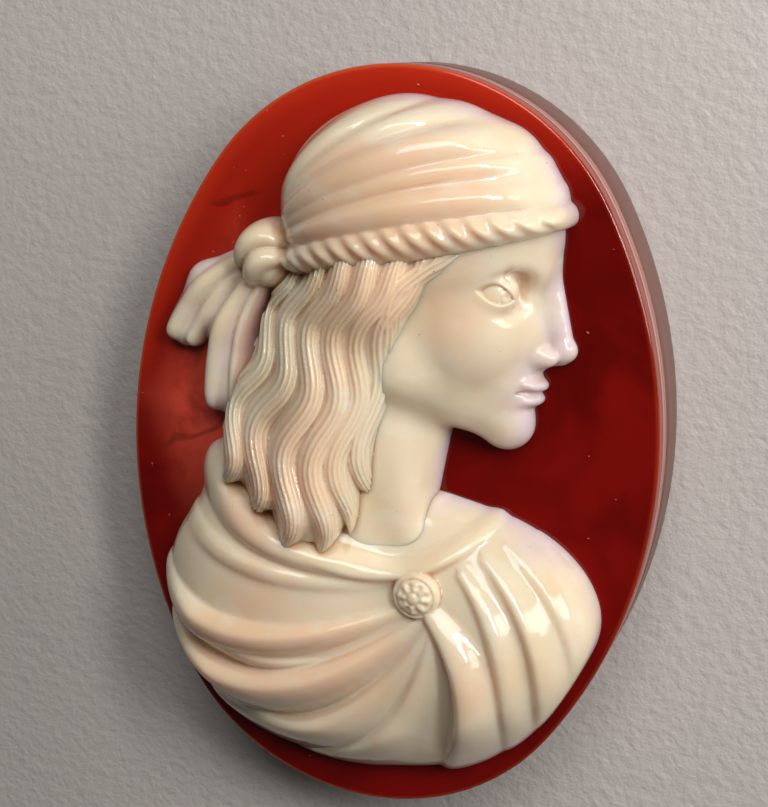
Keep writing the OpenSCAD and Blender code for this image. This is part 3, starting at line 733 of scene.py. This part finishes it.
class Shader:
    """Short names for the nodes of one material."""

    def __init__(self, name):
        self.material = bpy.data.materials.new(name)
        self.material.use_nodes = True
        self.tree = self.material.node_tree
        self.surface = self.tree.nodes["Principled BSDF"]
        self.place = self.node("ShaderNodeTexCoord").outputs["Object"]

    def node(self, kind, inputs=None, **settings):
        node = self.tree.nodes.new(kind)
        for key, value in settings.items():
            setattr(node, key, value)
        for key, value in (inputs or {}).items():
            if isinstance(value, bpy.types.NodeSocket):
                self.tree.links.new(value, node.inputs[key])
            else:
                node.inputs[key].default_value = value
        return node

    def set(self, **values):
        for key, value in values.items():
            socket = self.surface.inputs[key.replace("_", " ")]
            if isinstance(value, bpy.types.NodeSocket):
                self.tree.links.new(value, socket)
            else:
                socket.default_value = value

    def noise(self, size, detail=3.0, rough=0.5, stretch=(1, 1, 1), distort=0.0, offset=(0, 0, 0)):
        """Noise whose features are about size millimetres across."""
        place = self.node("ShaderNodeMapping", {
            "Vector": self.place, "Scale": tuple(s / (size * MM) for s in stretch), "Location": offset
        }).outputs["Vector"]
        return self.node("ShaderNodeTexNoise", {
            "Vector": place, "Scale": 1.0, "Detail": detail, "Roughness": rough, "Distortion": distort
        }).outputs["Fac"]

    def attribute(self, name):
        return self.node("ShaderNodeAttribute", attribute_name=name).outputs["Fac"]

    def math(self, operation, a, b=0.0, c=0.0):
        return self.node("ShaderNodeMath", {0: a, 1: b, 2: c}, operation=operation).outputs[0]

    def ramp(self, value, low, high, start=0.0, end=1.0):
        return self.node("ShaderNodeMapRange", {
            "Value": value, "From Min": low, "From Max": high, "To Min": start, "To Max": end
        }, interpolation_type="SMOOTHSTEP").outputs["Result"]

    def mix(self, share, a, b, blend="MIX"):
        node = self.node("ShaderNodeMix", data_type="RGBA", blend_type=blend)
        for socket, value in ((node.inputs[0], share), (node.inputs[6], a), (node.inputs[7], b)):
            if isinstance(value, bpy.types.NodeSocket):
                self.tree.links.new(value, socket)
            else:
                socket.default_value = value if isinstance(value, float) else (*value, 1.0)
        return node.outputs[2]

    def axis(self, index):
        split = self.node("ShaderNodeSeparateXYZ", {"Vector": self.place})
        return self.math("DIVIDE", split.outputs[index], MM)

    def facing_up(self):
        normal = self.node("ShaderNodeNewGeometry").outputs["Normal"]
        return self.node("ShaderNodeSeparateXYZ", {"Vector": normal}).outputs[2]

    def bump(self, height, strength, distance, under=None):
        inputs = {"Height": height, "Strength": strength, "Distance": distance * MM}
        if under is not None:
            inputs["Normal"] = under
        return self.node("ShaderNodeBump", inputs).outputs["Normal"]


def srgb(r, g, b):
    """A colour given as it looks on a screen, 0 to 255."""
    return tuple((v / 255 / 12.92) if v <= 10 else ((v / 255 + 0.055) / 1.055) ** 2.4 for v in (r, g, b))


STONE_IOR = 1.54


def cream_stone():
    """Carved layer: lilac white at the ground, cream above it and peach on the highest places."""
    s = Shader("cream_stone")
    z = s.math("SUBTRACT", s.axis(2), GROUND_Z)
    drift = s.noise(9.0, 2.0, 0.5)
    level = s.math("ADD", z, s.ramp(drift, 0.3, 0.7, -1.0, 1.0))
    colour = s.mix(s.ramp(level, 0.2, 2.6), srgb(220, 202, 204), srgb(232, 216, 188))
    colour = s.mix(s.ramp(level, 4.4, 6.8, 0.0, 0.85), colour, srgb(236, 200, 168))
    blotch = s.noise(5.0, 4.0, 0.55, offset=(3, 1, 7))
    colour = s.mix(s.ramp(blotch, 0.45, 0.75, 0.0, 0.35), colour, srgb(224, 196, 150))
    milk = s.noise(3.2, 3.0, 0.5, stretch=(1, 1.6, 1), offset=(8, 5, 2))
    colour = s.mix(s.ramp(milk, 0.52, 0.72, 0.0, 0.4), colour, srgb(238, 228, 208))
    # Painted shade: the hollows and the grooves are tinted warm brown, standing in for the shade and the
    # warm light that gather in them
    hollow = s.ramp(s.attribute("hollow"), 0.45, 1.0)
    colour = s.mix(s.math("MULTIPLY", hollow, 0.42), colour, srgb(206, 154, 116))
    groove = s.ramp(s.attribute("groove"), 0.4, 1.0)
    colour = s.mix(s.math("MULTIPLY", groove, 0.42), colour, srgb(190, 140, 84))
    pits = s.ramp(s.noise(0.22, 1.0, 0.4, offset=(9, 4, 2)), 0.81, 0.84)
    colour = s.mix(pits, colour, srgb(150, 110, 80))
    wobble = s.noise(1.8, 2.0, 0.5)
    fine = s.noise(0.4, 2.0, 0.5)
    normal = s.bump(wobble, 0.35, 0.14)
    normal = s.bump(fine, 0.15, 0.03, normal)
    s.set(Base_Color=colour, Roughness=0.07, IOR=STONE_IOR, Normal=normal)
    s.set(Subsurface_Weight=0.75, Subsurface_Scale=1.3 * MM)
    s.surface.inputs["Subsurface Radius"].default_value = (1.0, 0.55, 0.32)
    return s.material


# Milky cloud in the red layer: its middle, and its reach down to where it is full
CLOUD_AT, CLOUD_FAR, CLOUD_NEAR = (-11.5, 1.0), 7.5, 1.5
# Fine cracks in it: both ends, half-width
CRACKS = [((-13.6, 14.6), (-9.4, 16.0), 0.09), ((-16.2, -2.3), (-10.6, 0.5), 0.06)]


def crack(s, x, y, ends):
    """1 on a thin wavering line between two places, in millimetres."""
    (x0, y0), (x1, y1), width = ends
    length = math.hypot(x1 - x0, y1 - y0)
    ux, uy = (x1 - x0) / length, (y1 - y0) / length
    dx, dy = s.math("SUBTRACT", x, x0), s.math("SUBTRACT", y, y0)
    along = s.math("ADD", s.math("MULTIPLY", dx, ux), s.math("MULTIPLY", dy, uy))
    across = s.math("SUBTRACT", s.math("MULTIPLY", dx, -uy), s.math("MULTIPLY", dy, -ux))
    waver = s.ramp(s.noise(3.2, 1.0, 0.5), 0.25, 0.75, -0.4, 0.4)
    gap = s.math("ABSOLUTE", s.math("ADD", across, waver))
    line = s.ramp(gap, width, 4 * width, 1.0, 0.0)
    ends_fade = s.math("MULTIPLY", s.ramp(along, -0.2, 1.0), s.ramp(along, length, length - 1.2))
    return s.math("MULTIPLY", line, ends_fade)


# Painted light: measured toward the upper left, the red begins to brighten here and is brightest here
DULL_AT, BRIGHT_AT = 8.0, 26.0


def red_stone():
    """Ground layer: translucent red with painted light that brightens it toward the top and along its
    upper rim, a painted highlight line at its edge, a milky cloud and fine cracks.
    """
    s = Shader("red_stone")
    x, y = s.axis(0), s.axis(1)
    cloud = s.noise(9.0, 3.0, 0.55, distort=0.6)
    colour = s.mix(s.ramp(cloud, 0.35, 0.7), srgb(96, 5, 2), srgb(128, 12, 7))
    # Painted light: brighter orange red toward the upper left, where the light falls
    painted_light_axis = s.math("SUBTRACT", y, s.math("MULTIPLY", x, 0.7))
    colour = s.mix(s.ramp(painted_light_axis, DULL_AT, BRIGHT_AT, 0.0, 0.68), colour, srgb(196, 42, 20))
    spot = s.math("ADD", s.math("ABSOLUTE", s.math("ADD", x, -CLOUD_AT[0])),
                  s.math("MULTIPLY", s.math("ABSOLUTE", s.math("ADD", y, -CLOUD_AT[1])), 0.45))
    patches = s.ramp(s.noise(3.0, 4.0, 0.6), 0.3, 0.6, 0.5, 1.0)
    milky = s.math("MULTIPLY", s.ramp(spot, CLOUD_FAR, CLOUD_NEAR), patches)
    colour = s.mix(s.math("MULTIPLY", milky, 0.9), colour, srgb(234, 88, 66))
    # Painted light: near the rim the red is brightened further, more so toward the upper left
    rim = s.math("MULTIPLY", s.ramp(s.attribute("rim"), 1.5, 0.2),
                 s.ramp(painted_light_axis, DULL_AT, BRIGHT_AT, 0.0, 0.6))
    colour = s.mix(rim, colour, srgb(205, 52, 26))
    # Painted highlight: a thin orange line along the very edge, strongest on the left
    edge = s.math("MULTIPLY", s.ramp(s.attribute("rim"), 0.34, 0.1), s.ramp(x, -6.0, 14.0, 0.7, 0.15))
    colour = s.mix(edge, colour, srgb(206, 90, 46))
    for ends in CRACKS:
        colour = s.mix(s.math("MULTIPLY", crack(s, x, y, ends), 0.4), colour, srgb(58, 12, 12))
    dust = s.ramp(s.noise(0.3, 1.0, 0.4, offset=(4, 9, 1)), 0.80, 0.83)
    colour = s.mix(dust, colour, srgb(190, 150, 140))
    side = s.ramp(s.facing_up(), 0.5, 0.1)
    colour = s.mix(side, colour, srgb(152, 84, 72))
    normal = s.bump(s.noise(5.0, 2.0), 0.2, 0.1)
    s.set(Base_Color=colour, Roughness=s.ramp(side, 0.0, 1.0, 0.08, 0.55), IOR=STONE_IOR, Normal=normal)
    s.set(Subsurface_Weight=0.25, Subsurface_Scale=0.5 * MM)
    s.surface.inputs["Subsurface Radius"].default_value = (1.0, 0.25, 0.12)
    return s.material


# Heights of the two lines in the pale band, as shares of it
UPPER_LINE, LOWER_LINE = 0.76, 0.26


def pale_stone():
    """A double line, pale pink and cream, in a mauve layer."""
    s = Shader("pale_stone")
    warp = s.ramp(s.noise(7.0, 2.0), 0.3, 0.7, -0.06, 0.06)
    level = s.math("ADD", s.axis(2), warp)
    upper = s.ramp(s.math("ABSOLUTE", s.math("SUBTRACT", level, BACK_T + UPPER_LINE * PALE_T)), 0.32, 0.2)
    lower = s.ramp(s.math("ABSOLUTE", s.math("SUBTRACT", level, BACK_T + LOWER_LINE * PALE_T)), 0.3, 0.18)
    colour = s.mix(upper, srgb(136, 84, 74), srgb(188, 137, 126))
    colour = s.mix(lower, colour, srgb(182, 130, 120))
    s.set(Base_Color=colour, Roughness=0.35, IOR=STONE_IOR, Specular_IOR_Level=0.12)
    s.set(Subsurface_Weight=0.3, Subsurface_Scale=0.6 * MM)
    return s.material


def mauve_stone():
    s = Shader("mauve_stone")
    band = s.noise(2.5, 3.0, 0.5, stretch=(0.15, 0.15, 2.5))
    colour = s.mix(s.ramp(band, 0.35, 0.7), srgb(114, 78, 70), srgb(122, 86, 76))
    cloud = s.noise(6.0, 4.0, 0.6)
    colour = s.mix(s.ramp(cloud, 0.4, 0.7, 0.0, 0.4), colour, srgb(102, 66, 60))
    s.set(Base_Color=colour, Roughness=0.35, IOR=STONE_IOR, Specular_IOR_Level=0.12)
    s.set(Subsurface_Weight=0.2, Subsurface_Scale=0.5 * MM)
    return s.material


def floor_finish():
    s = Shader("floor")
    tone = s.noise(60.0, 2.0)
    colour = s.mix(s.ramp(tone, 0.3, 0.7), srgb(196, 188, 182), srgb(202, 194, 188))
    s.set(Base_Color=colour, Roughness=0.5)
    grain = s.bump(s.noise(0.8, 3.0, 0.6), 0.8, 0.16)
    s.set(Normal=s.bump(s.noise(2.0, 3.0, 0.6), 0.55, 0.12, grain))
    return s.material


# Stage, lights and camera

def make_floor():
    far = 900
    points = [(-far, -far, 0), (far, -far, 0), (far, far, 0), (-far, far, 0)]
    new_mesh("floor", points, [(0, 1, 2, 3)], {}, floor_finish(), smooth=False)


def look(obj, at, to):
    """Puts an object at a place, in millimetres, and turns its -Z to another place."""
    back = (Vector(at) - Vector(to)).normalized()
    right = Vector((0, 1, 0)).cross(back).normalized()
    up = back.cross(right)
    turn = Matrix((right, up, back)).transposed()
    obj.matrix_world = Matrix.Translation(Vector(at) * MM) @ turn.to_4x4()


LIT = (0, 0, 5)      # what the lights point to
PANE, PANE_W, PANE_TINT = (16, 66), 0.062, (0.99, 0.975, 0.97)
COOL = (0.98, 0.98, 0.99)
# Name, place, size, watts and tint
LIGHTS = [
    ("window_pane_1", (133, 71, 134), PANE, PANE_W, PANE_TINT),
    ("window_pane_2", (116, 92, 134), PANE, PANE_W, PANE_TINT),
    ("window_pane_3", (99, 113, 134), PANE, PANE_W, PANE_TINT),
    ("low_window", (150, 60, 60), (90, 60), 0.09, COOL),
    ("skylight", (35, 200, 200), (170, 130), 0.37, COOL),
]
ROOM_LIGHT, ROOM_COLOUR = 0.052, (214, 210, 206)


def area_light(name, at, size, watts, tint):
    lamp = bpy.data.lights.new(name, "AREA")
    lamp.shape = "RECTANGLE"
    lamp.size, lamp.size_y = size[0] * MM, size[1] * MM
    lamp.energy = watts
    lamp.color = tint
    obj = bpy.data.objects.new(name, lamp)
    bpy.context.scene.collection.objects.link(obj)
    look(obj, at, LIT)


def make_lights():
    for light in LIGHTS:
        area_light(*light)
    world = bpy.data.worlds.new("room")
    world.use_nodes = True
    background = world.node_tree.nodes["Background"]
    background.inputs["Color"].default_value = (*srgb(*ROOM_COLOUR), 1.0)
    background.inputs["Strength"].default_value = ROOM_LIGHT
    bpy.context.scene.world = world
    bpy.context.scene.view_settings.view_transform = "Standard"


# Camera: place, axes (right, up, back), focal length and picture height in pixels
CAMERA_AT = (31.07, 29.33, 92.34 + GROUND_Z)
CAMERA_AXES = ((0.9363, 0.0869, -0.3403), (-0.1674, 0.9622, -0.2149), (0.3088, 0.2582, 0.9154))
FOCAL_PX = 1547.0
FRAME_H_PX = 807


def make_camera():
    camera = bpy.data.cameras.new("camera")
    camera.sensor_fit = "VERTICAL"
    camera.sensor_height = 36.0
    camera.lens = FOCAL_PX * camera.sensor_height / FRAME_H_PX
    camera.clip_start = 0.005
    camera.clip_end = 10
    obj = bpy.data.objects.new("camera", camera)
    bpy.context.scene.collection.objects.link(obj)
    turn = Matrix(CAMERA_AXES).transposed()
    obj.matrix_world = Matrix.Translation(Vector(CAMERA_AT) * MM) @ turn.to_4x4()
    bpy.context.scene.camera = obj


# Maps of the folds: rule, corners, step
FINE = 0.04
HEAD_LOW, HEAD_HIGH = (-14.0, -8.5), (12.5, 24.5)
CLOTH_SHEET = Sheet(cloth_folds, HEAD_LOW, HEAD_HIGH, 1.5 * FINE)
KNOT_SHEET = Sheet(knot_folds, (-14.0, 4.0), (-4.0, 16.0), 2 * FINE)
TAIL_SHEET = Sheet(tail_folds, (-17.0, -5.0), (-6.0, 14.0), 2 * FINE)
HAIR_SHEET = Sheet(hair_folds, (-14.0, -9.0), (9.0, 20.0), FINE)
MANTLE_SHEET = Sheet(mantle_folds, (-17.0, -24.5), (18.0, 3.0), 2 * FINE)

# Relief pieces: form, box round it, cell of its mesh, share of the painted shade in its grooves and
# hollows
CARVED = [
    ("bust_face", face, (-4.5, -8.5, -0.4), (12.6, 20.0, 8.0), 0.085, 1.0),
    ("bust_hair", hair, (-13.0, -9.5, -0.4), (9.5, 17.5, 9.6), 0.1, 0.75),
    ("bust_head_cloth", cloth, (-16.5, -3.5, -0.4), (12.0, 24.0, 9.6), 0.11, 1.0),
    ("bust_mantle", mantle, (-16.8, -24.2, -0.4), (17.8, 2.5, 9.6), 0.13, 1.0),
]


def make_plate():
    plate_layer("plate_back", 0.0, BACK_T, EDGE_CUT, 0.0, mauve_stone(), "back_layer")
    plate_layer("plate_pale", BACK_T, BACK_T + PALE_T, 0.0, 0.0, pale_stone(), "pale_band")
    plate_layer("plate_red", BACK_T + PALE_T, GROUND_Z, 0.0, EDGE_CUT, red_stone(), "red_ground")


make_camera()
make_floor()
make_lights()
make_plate()
make_bust()
